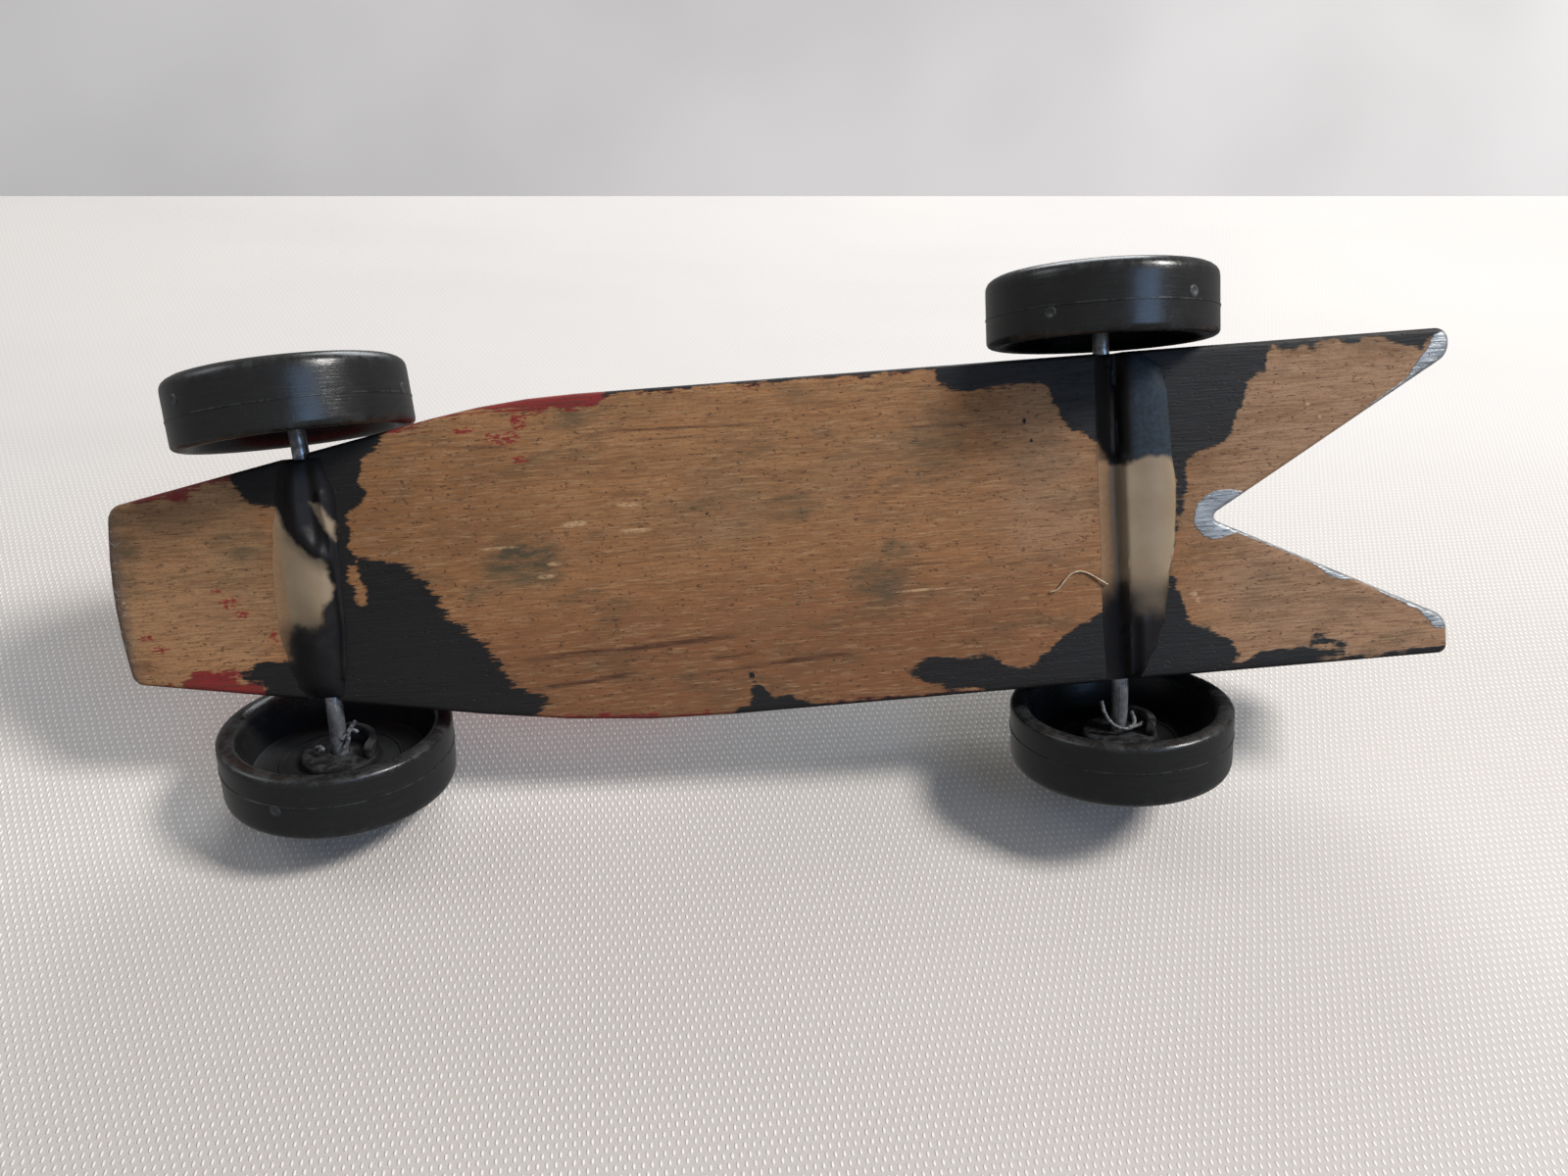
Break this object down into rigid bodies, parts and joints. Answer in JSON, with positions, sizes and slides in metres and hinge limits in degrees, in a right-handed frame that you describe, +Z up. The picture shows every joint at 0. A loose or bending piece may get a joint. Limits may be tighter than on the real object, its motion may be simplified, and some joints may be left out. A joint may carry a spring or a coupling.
{
  "type": "wooden derby race car",
  "caption": "Wooden toy race car carved from a block, with a notched tail and plastic wheels turning on glued nail axles.",
  "frame": {"origin": "middle of the whole car's footprint, on the ground that the wheels stand on", "axes": "+X towards the nose, +Y towards the car's left side, +Z up"},
  "size_m": [0.1782, 0.071, 0.035],
  "materials": {
    "wood_block": "bare sanded wood below, brushed red and black paint on the sides and top, silver on the tail's edges",
    "hot_glue": "milky hot-melt glue, partly painted gloss black",
    "wheel_plastic": "semi-gloss moulded plastic, scuffed on the edges",
    "nail_steel": "dull bright steel, smeared with graphite"
  },
  "bodies": {
    "chassis": {"body_block": "wood_block", "front_slot_glue": "hot_glue", "rear_slot_glue": "hot_glue", "front_left_axle_nail": "nail_steel", "rear_left_axle_nail": "nail_steel", "front_right_axle_nail": "nail_steel", "rear_right_axle_nail": "nail_steel"},
    "front_left_wheel": {"front_left_wheel": "wheel_plastic"},
    "rear_left_wheel": {"rear_left_wheel": "wheel_plastic"},
    "front_right_wheel": {"front_right_wheel": "wheel_plastic"},
    "rear_right_wheel": {"rear_right_wheel": "wheel_plastic"}
  },
  "joints": [
    {"name": "front_left_spin", "type": "hinge", "parent": "chassis", "child": "front_left_wheel", "pos_m": [0.06452, 0.02512, 0.01526], "axis": [0.0697, 0.9966, 0.0436], "continuous": true},
    {"name": "rear_left_spin", "type": "hinge", "parent": "chassis", "child": "rear_left_wheel", "pos_m": [-0.04298, 0.02953, 0.01525], "axis": [-0.0384, 0.9985, 0.0401], "continuous": true},
    {"name": "front_right_spin", "type": "hinge", "parent": "chassis", "child": "front_right_wheel", "pos_m": [0.06433, -0.02208, 0.01565], "axis": [0.0926, -0.9615, 0.2588], "continuous": true},
    {"name": "rear_right_spin", "type": "hinge", "parent": "chassis", "child": "rear_right_wheel", "pos_m": [-0.0435, -0.02869, 0.01558], "axis": [0, -0.9848, 0.1736], "continuous": true}
  ]
}
